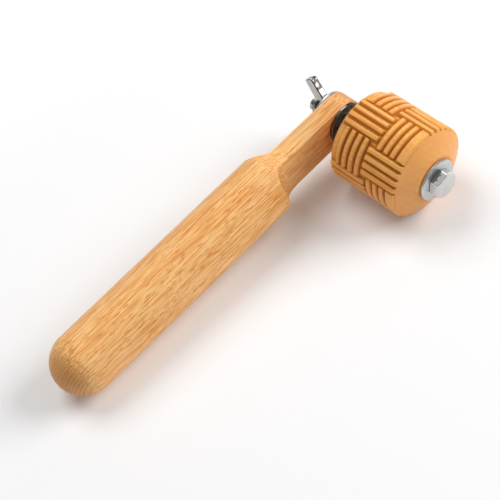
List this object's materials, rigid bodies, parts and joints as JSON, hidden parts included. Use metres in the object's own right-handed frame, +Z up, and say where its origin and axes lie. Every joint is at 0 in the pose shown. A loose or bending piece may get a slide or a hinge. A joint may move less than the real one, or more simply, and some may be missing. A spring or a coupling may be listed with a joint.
{
  "type": "clay texture wheel",
  "caption": "Hand tool that rolls a basket-weave pattern into clay: a carved wooden roller turns on a bolt clamped by a wing nut to the flat tongue of a turned wooden handle.",
  "frame": {"origin": "middle of the tool's footprint, on the table that the roller and the handle's round end rest on", "axes": "+X along the bolt towards its head, +Y along the handle towards the tongue's tip, +Z up"},
  "size_m": [0.0916, 0.2178, 0.049],
  "materials": {
    "handle_beech": "sanded pale beech, bare or lightly waxed",
    "roller_beech": "carved beech, oiled to a warmer orange",
    "bright_zinc": "bright zinc-plated steel",
    "cast_zinc": "cast and zinc-plated, satin on its faces and polished on its edges"
  },
  "bodies": {
    "handle": {"handle": "handle_beech", "hex_bolt": "bright_zinc", "hex_nut": "bright_zinc", "tongue_washer_inner": "bright_zinc"},
    "roller": {"texture_roller": "roller_beech"},
    "head_washer": {"head_washer": "bright_zinc"},
    "outer_washer": {"tongue_washer_outer": "bright_zinc"},
    "wing_nut": {"wing_nut": "cast_zinc"}
  },
  "joints": [
    {"name": "roller_spin", "type": "hinge", "parent": "handle", "child": "roller", "pos_m": [0.0124, 0.08444, 0.02449], "axis": [1, 0, 0], "continuous": true},
    {"name": "head_washer_spin", "type": "hinge", "parent": "handle", "child": "head_washer", "pos_m": [0.0395, 0.08444, 0.02449], "axis": [1, 0, 0], "continuous": true},
    {"name": "outer_washer_slide", "type": "slide", "parent": "handle", "child": "outer_washer", "axis": [-1, 0, 0], "range_m": [0, 0.0071]},
    {"name": "wing_nut_turn", "type": "hinge", "parent": "outer_washer", "child": "wing_nut", "pos_m": [-0.0368, 0.08444, 0.02449], "axis": [-1, 0, 0], "range_deg": [0, 1800]}
  ],
  "couplings": [
    {"joint": "outer_washer_slide", "follows": "wing_nut_turn", "m_per_rad": 0.00022458}
  ]
}
